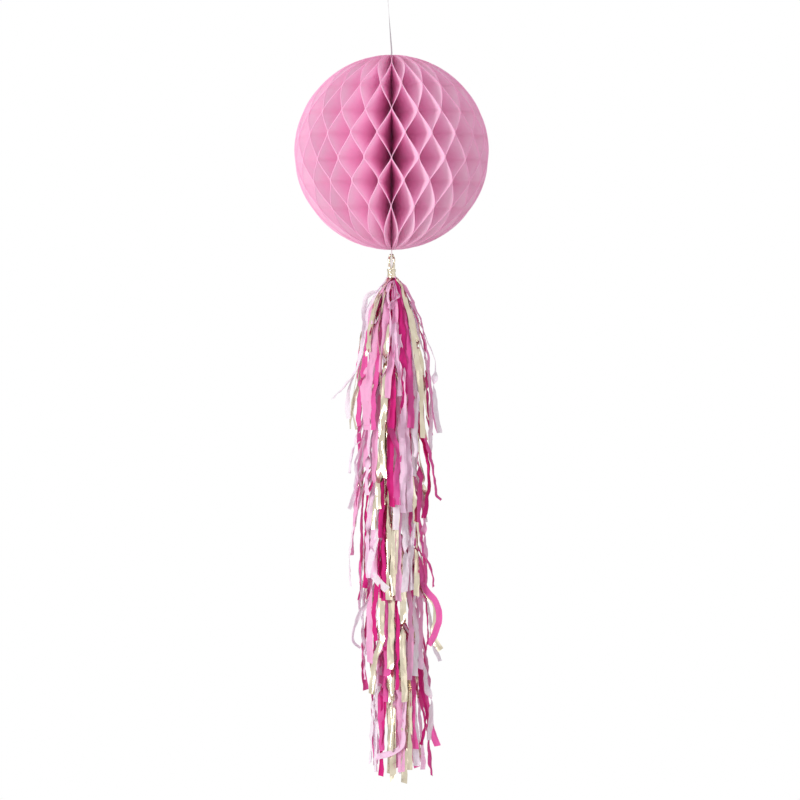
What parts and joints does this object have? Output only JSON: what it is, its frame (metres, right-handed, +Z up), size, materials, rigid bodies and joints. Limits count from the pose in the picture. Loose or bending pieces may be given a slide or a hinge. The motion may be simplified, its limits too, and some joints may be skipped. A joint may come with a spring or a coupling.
{
  "type": "honeycomb paper ball with tassel tail",
  "caption": "Round honeycomb tissue ball in pink, hung on a ribbon loop, with a long tail of tissue and foil tassels on the cord below it.",
  "frame": {"origin": "inside of the top of the ribbon's hanging loop, where it bears on its hook", "axes": "+Z up, against the pull of the hanging weight; -Y towards the viewer of the picture; +X to the viewer's right"},
  "size_m": [0.297, 0.2984, 1.2384],
  "materials": {
    "ball_tissue": "thin matt tissue, slightly see-through",
    "satin_ribbon": "satin weave",
    "cotton_cord": "twisted, matt",
    "white_tissue": "thin matt tissue, slightly see-through",
    "pale_pink_tissue": "thin matt tissue",
    "hot_pink_tissue": "thin matt tissue",
    "champagne_foil": "metallised film, mirror bright on one side"
  },
  "bodies": {
    "root": {"honeycomb_ball": "ball_tissue", "hanging_ribbon": "satin_ribbon", "core_cord": "cotton_cord", "tassel_1_white": "white_tissue", "tassel_1_pale_pink": "pale_pink_tissue", "tassel_1_hot_pink": "hot_pink_tissue", "tassel_1_foil": "champagne_foil", "tassel_2_white": "white_tissue", "tassel_2_pale_pink": "pale_pink_tissue", "tassel_2_hot_pink": "hot_pink_tissue", "tassel_2_foil": "champagne_foil", "tassel_3_white": "white_tissue", "tassel_3_pale_pink": "pale_pink_tissue", "tassel_3_hot_pink": "hot_pink_tissue", "tassel_3_foil": "champagne_foil", "tassel_4_white": "white_tissue", "tassel_4_pale_pink": "pale_pink_tissue", "tassel_4_hot_pink": "hot_pink_tissue", "tassel_4_foil": "champagne_foil", "tassel_5_white": "white_tissue", "tassel_5_pale_pink": "pale_pink_tissue", "tassel_5_hot_pink": "hot_pink_tissue", "tassel_5_foil": "champagne_foil"}
  },
  "joints": []
}
